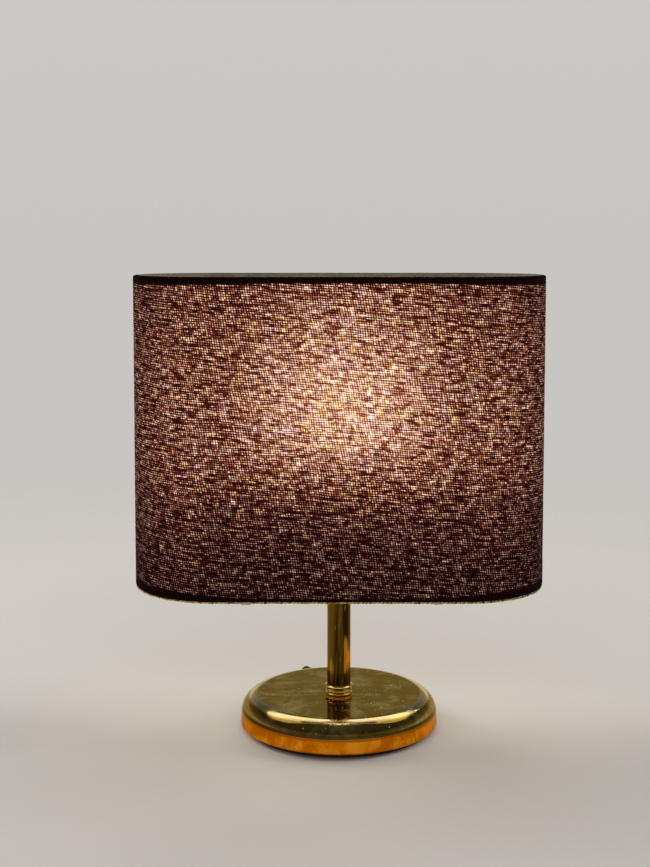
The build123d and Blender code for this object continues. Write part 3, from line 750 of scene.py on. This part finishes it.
weave = group_of("cloth_threads", {}, {"Cover": "Float", "Height": "Float"})[0]
run = join(weave, "ShaderNodeAttribute", attribute_name="yarn").outputs["Vector"]
along, up = part_of(weave, run, "X"), part_of(weave, run, "Y")
warp_lean, warp_pitch = 0.167, 1.7
weft_lean, weft_pitch = 0.07, 1.6
warp_number, warp, warp_cover = yarn_set(
    weave, along, warp_lean, up, warp_pitch, length=5.0, thin=1.2, thick=2.3, seed=2.0
)
weft_number, weft, weft_cover = yarn_set(
    weave, up, weft_lean, along, weft_pitch, length=6.0, thin=1.1, thick=2.6, seed=9.0
)
cell = {0: reckon(weave, "FLOOR", warp_number), 1: reckon(weave, "FLOOR", weft_number)}
cell = join(weave, "ShaderNodeCombineXYZ", cell).outputs[0]
tightness = join(weave, "ShaderNodeTexWhiteNoise", {0: cell}).outputs["Value"]
fall = reckon(weave, "ADD", up, reckon(weave, "MULTIPLY", along, weft_lean))
slub = spread(weave, stretched(weave, along, 11.0, fall, 2.2, 21.0, 3.0), 0.48, 0.68)
clump = reckon(weave, "SUBTRACT", stretched(weave, along, 8.0, fall, 3.6, 33.0, 3.0), 0.5)
stopped = weigh(weave, (warp_cover, 1.0), (weft_cover, 1.0), (slub, 3.0), (clump, -4.6), (tightness, 2.3))
relief = reckon(weave, "MAXIMUM", warp, reckon(weave, "MULTIPLY", weft, 0.9))
join(weave, "NodeGroupOutput", {"Cover": stopped, "Height": relief})

bulb_place = (0.004, 0, 0.252)
nearest_cloth = 0.062
housing_hides, housing_clears = -0.94, -0.33
lit_from, lit_to = 0.1136, 0.3385
edge_blur = 0.0012


def light_on_cloth(tree, place):
    """The bulb's light painted on a place of the cloth: less by distance, slant, the housing and the hems,
    and less at the round ends and towards +X.
    """
    across, level = part_of(tree, place, "X"), part_of(tree, place, "Z")
    from_bulb = reckon_vector(tree, "SUBTRACT", place, bulb_place)
    outward = join(tree, "ShaderNodeAttribute", attribute_name="outward").outputs["Vector"]
    reach = reckon_vector(tree, "LENGTH", from_bulb, gives="Value")
    facing = reckon_vector(tree, "DOT_PRODUCT", from_bulb, outward, gives="Value")
    falloff = reckon(tree, "DIVIDE", facing, reckon(tree, "POWER", reach, 3.0))
    falloff = reckon(tree, "POWER", reckon(tree, "MULTIPLY", falloff, nearest_cloth**2), 1.55)
    falloff = reckon(tree, "MULTIPLY", falloff, 2.2)
    below = reckon(tree, "DIVIDE", reckon(tree, "SUBTRACT", level, bulb_place[2]), reach)
    seen_bulb = spread(tree, below, housing_hides, housing_clears, way="LINEAR")
    seen_bulb = reckon(tree, "POWER", seen_bulb, 2.0)
    soft_light = spread(tree, seen_bulb, 0.0, 1.0, 0.015, 0.055, "LINEAR")
    above_housing = spread(tree, seen_bulb, 0.0, 1.0, 0.13, 1.0, "LINEAR")
    light = reckon(tree, "ADD", reckon(tree, "MULTIPLY", falloff, above_housing), soft_light)

    ends = reckon(tree, "ABSOLUTE", across)
    corner = spread(tree, ends, 0.05, 0.13)
    ragged = stretched(tree, across, 0.03, level, 0.004, 5.0, 4.0)
    low_edge = reckon(tree, "ADD", lit_from, weigh(tree, (corner, 0.0042), (ragged, 0.002)))
    high_edge = reckon(tree, "SUBTRACT", lit_to, weigh(tree, (corner, 0.0012), (ragged, 0.0025)))
    over_low = spread(tree, reckon(tree, "SUBTRACT", level, low_edge), 0.0, edge_blur)
    under_high = spread(tree, reckon(tree, "SUBTRACT", high_edge, level), 0.0, edge_blur)
    for share in (over_low, under_high, spread(tree, ends, 0.1, 0.15, 1.0, 0.34)):
        light = reckon(tree, "MULTIPLY", light, share)
    return reckon(tree, "MULTIPLY", light, spread(tree, across, 0.05, 0.14, 1.0, 0.78))


def cloth_finish(name):
    """The cloth's material: dark yarn, with the bulb's light through yarn and gaps painted in.

    The light's colour goes by how much comes through, and varies between plum and golden.
    """
    material, tree, shader = finish(name, (0.01, 0.004, 0.004), 0.9, Specular_IOR_Level=0.02)
    shader.inputs["Emission Strength"].default_value = 1.0
    place = own_place(tree)
    threads = join(tree, "ShaderNodeGroup", node_tree=weave).outputs
    yarn = mingle(tree, threads["Height"], (0.019, 0.0055, 0.0055), (0.006, 0.0015, 0.0015))
    bump = join(tree, "ShaderNodeBump", {"Strength": 0.5, "Distance": 0.0006, "Height": threads["Height"]})
    open_share = reckon(tree, "EXPONENT", reckon(tree, "MULTIPLY", threads["Cover"], -1.0))
    through = reckon(tree, "ADD", 0.08, reckon(tree, "MULTIPLY", 32.0, open_share))
    shine = reckon(tree, "MULTIPLY", reckon(tree, "MULTIPLY", light_on_cloth(tree, place), through), -1.0)
    shine = reckon(tree, "SUBTRACT", 1.0, reckon(tree, "EXPONENT", shine))
    through_yarn = ramp(
        tree,
        shine,
        (0.0, (0.0, 0.0, 0.0)),
        (0.06, (0.055, 0.008, 0.006)),
        (0.16, (0.15, 0.03, 0.018)),
        (0.3, (0.31, 0.074, 0.04)),
        (0.6, (0.63, 0.195, 0.078)),
        (0.85, (0.89, 0.45, 0.21)),
        (1.0, (1.0, 0.88, 0.64)),
    )
    through_gap = ramp(
        tree,
        shine,
        (0.0, (0.0, 0.0, 0.0)),
        (0.12, (0.13, 0.093, 0.08)),
        (0.3, (0.33, 0.21, 0.168)),
        (0.6, (0.63, 0.345, 0.2)),
        (0.85, (0.92, 0.69, 0.42)),
        (1.0, (1.0, 0.96, 0.78)),
    )
    colour = mingle(tree, spread(tree, open_share, 0.06, 0.3), through_yarn, through_gap)
    # A random tint of the painted light, between plum and golden.
    plum, golden = (0.97, 0.94, 1.24), (1.03, 1.04, 0.74)
    light_tint = ramp(tree, mottle(tree, place, 250.0, 3.0), (0.36, plum), (0.64, golden))
    tinted_light = mingle(tree, 1.0, colour, light_tint, way="MULTIPLY")
    feed(tree, shader, Base_Color=yarn, Normal=bump.outputs[0], Emission_Color=tinted_light)
    return material


# How far in from the face and how far from the shade's edge a hem runs, from its cut end to the face.
turned_in = [
    (1.6, 10.1), (2.0, 10.2), (2.4, 9.8), (2.45, 8.2), (2.6, 6.8), (4.1, 5.4), (5.3, 4.4),
    (5.6, 2.9), (5.45, 1.5), (5.0, 0.7), (4.2, 0.2), (3.0, 0.0), (1.7, 0.03), (0.9, 0.2),
    (0.35, 0.6), (0.08, 1.1), (0.0, 1.8),
]
hem_rows = len(turned_in)
tape_rows = 11
face_rows = 118
lap = 8.0
lap_lift = 0.45
cloth_columns = 600
face_foot = shade_foot + turned_in[-1][1]
face_rise = shade_top - turned_in[-1][1] - face_foot
cloth_profile = [(inset, shade_foot + rise) for inset, rise in turned_in]
cloth_profile += [(0.0, face_foot + face_rise * count / face_rows) for count in range(1, face_rows)]
cloth_profile += [(inset, shade_top - rise) for inset, rise in reversed(turned_in)]
cloth_rows = len(cloth_profile)
yarn_up = [0.0]
for (inset, level), (next_inset, next_level) in zip(cloth_profile, cloth_profile[1:]):
    yarn_up.append(yarn_up[-1] + math.hypot(next_inset - inset, next_level - level))


def cloth_distance(column):
    """How far round from mid back a column of the cloth lies, past one turn in the lap."""
    return (perimeter + lap) * column / (cloth_columns - 1)


def cloth_point(row, column):
    """A point of the cloth: uneven on the face, lifted where it laps, wavy at the hems."""
    inset, level = cloth_profile[row]
    distance = cloth_distance(column)
    lift = lap_lift * min(1.0, max(0.0, (distance - perimeter + 4) / 4))
    face = 1.0 if inset < 0.5 else 0.3
    spot = Vector((distance / 22, level / 22, 0.0))
    uneven = 0.13 * noise.noise(spot) + 0.07 * noise.noise(spot * 4) + 0.05
    point = oval_place(distance, half_depth(level) - inset + lift * face + uneven * face)[0]
    at_hem = 1.0 if row < hem_rows or row >= cloth_rows - hem_rows else 0.0
    wave = at_hem * face * 0.12 * noise.noise(Vector((distance / 9, row * 0.1, 4.0)))
    return point + Vector((0, 0, level + wave))


lit_cloth = cloth_finish("lit_cloth")
cloth = ribbon("oval_cloth", cloth_rows, cloth_columns, cloth_point, lit_cloth, joined=False)
hem_tape = grained("hem_tape", (0.19, 0.175, 0.145), (0.12, 0.11, 0.09), 0.85, 500.0, 0.4, 0.3)
cloth.data.materials.append(hem_tape)
for face in cloth.data.polygons:
    row = min(face.vertices) // cloth_columns
    if row < tape_rows or row >= cloth_rows - 1 - tape_rows:
        face.material_index = 1
# The weave is drawn by millimetres along and up the cut cloth, and the light by the way out from it.
yarn = cloth.data.attributes.new("yarn", "FLOAT_VECTOR", "POINT")
outward = cloth.data.attributes.new("outward", "FLOAT_VECTOR", "POINT")
for index in range(len(cloth.data.vertices)):
    row, column = divmod(index, cloth_columns)
    yarn.data[index].vector = (cloth_distance(column), yarn_up[row], 0)
    outward.data[index].vector = oval_place(cloth_distance(column), 1.0)[1]
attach(cloth, "shade")
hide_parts("shade_fabric")


# The thread along the lower edge
# Two strands of metallic yellow thread twisted together and glued along the lower edge, with a
# bead of clear glue where each arm meets the frame and a few short ends of yarn that stick out.

gold_thread, tree, shader = finish("gold_thread", (0.75, 0.5, 0.16), 0.3, Metallic=0.85)
worn = mottle(tree, own_place(tree), 260.0, 3.0)
tone = ramp(tree, worn, (0.36, (0.2, 0.1, 0.02)), (0.48, (0.66, 0.44, 0.08)), (0.66, (1.0, 0.8, 0.3)))
feed(tree, shader, Base_Color=tone, Roughness=spread(tree, worn, 0.4, 0.6, 0.5, 0.25))

thread_steps = 3600
thread_turns = 130
strand_radius = 0.42
strand_sides = 6
thread_inset = 1.0
thread_level = 112.1
lower_edge = half_depth(112)
strand_points, strand_faces = [], []
for strand in range(2):
    first = len(strand_points)
    for step in range(thread_steps):
        distance = perimeter * step / thread_steps
        loose = 0.12 * noise.noise(Vector((distance / 5, 0, strand)))
        centre, out = oval_place(distance, lower_edge - thread_inset + loose)
        centre.z = thread_level + 0.25 * noise.noise(Vector((distance / 9, 3, 0)))
        turn = 2 * math.pi * distance * thread_turns / perimeter + math.pi * strand
        middle = centre + (out * math.cos(turn) + Vector((0, 0, math.sin(turn)))) * strand_radius
        for count in range(strand_sides):
            angle = 2 * math.pi * count / strand_sides
            point = middle + (out * math.cos(angle) + Vector((0, 0, math.sin(angle)))) * strand_radius
            strand_points.append(point / 1000)
    for step in range(thread_steps):
        here, there = first + step * strand_sides, first + (step + 1) % thread_steps * strand_sides
        for count in range(strand_sides):
            after = (count + 1) % strand_sides
            strand_faces.append((here + count, there + count, there + after, here + after))
thread_mesh = bpy.data.meshes.new("twisted_thread")
thread_mesh.from_pydata(strand_points, [], strand_faces)
thread = keep("twisted_thread", thread_mesh, gold_thread, 80)
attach(thread, "shade")
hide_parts("edge_thread")

glue_inset = 1.1
glue_level = 111.6
glue = grained("clear_glue", (0.75, 0.6, 0.5), (0.6, 0.45, 0.35), 0.25, 500.0, 0.1, Coat_Weight=0.6)
glue_spots = []
for across, back, size in ((-66, -1, 1.9), (arm_at, -1, 1.4), (-arm_at, 1, 1.4), (arm_at, 1, 1.5)):
    centre = Vector((across, back * (lower_edge - glue_inset), glue_level))
    for lump in range(3):
        shift = Vector((lump * 1.9 - 1.9, 0.3 * lump - 0.3, -0.2 * lump))
        glue_spots.append((centre + shift, size * (1 - 0.22 * lump)))
glue_beads = beads("glue_beads", glue_spots, (1.3, 0.7, 0.65), 0.3, 700, glue)
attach(glue_beads, "shade")

chance = random.Random(11)
end_count = 150
end_radius = 0.07
within_edge = 0.2
yarn_end = grained("yarn_end", (0.06, 0.045, 0.04), (0.03, 0.02, 0.02), 0.8, 900.0, 0.1)
ends = bpy.data.curves.new("yarn_ends", "CURVE")
ends.dimensions = "3D"
ends.bevel_depth = end_radius / 1000
ends.bevel_resolution = 1
ends.materials.append(yarn_end)
for count in range(end_count):
    at_top = count % 3 == 0
    distance = chance.uniform(0, perimeter)
    level = shade_top - within_edge if at_top else shade_foot + within_edge
    start, out = oval_place(distance, half_depth(level) - 0.5)
    side = Vector((-out.y, out.x, 0))
    way = 1 if at_top else -1
    reach = chance.uniform(0.5, 1.6)
    sway = chance.uniform(-1.2, 1.2)
    spline = ends.splines.new("NURBS")
    spline.points.add(3)
    for index, point in enumerate(spline.points):
        share = index / 3
        rise = way * reach * 0.55 * share * (1 - 0.4 * share)
        spot = start + out * (0.2 + 0.5 * share * reach) + side * sway * share
        point.co = (*((spot + Vector((0, 0, level + rise))) / 1000), 1)
    spline.order_u = 3
    spline.use_endpoint_u = True
yarn_ends = bpy.data.objects.new("yarn_ends", ends)
scene.collection.objects.link(yarn_ends)
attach(yarn_ends, "shade")
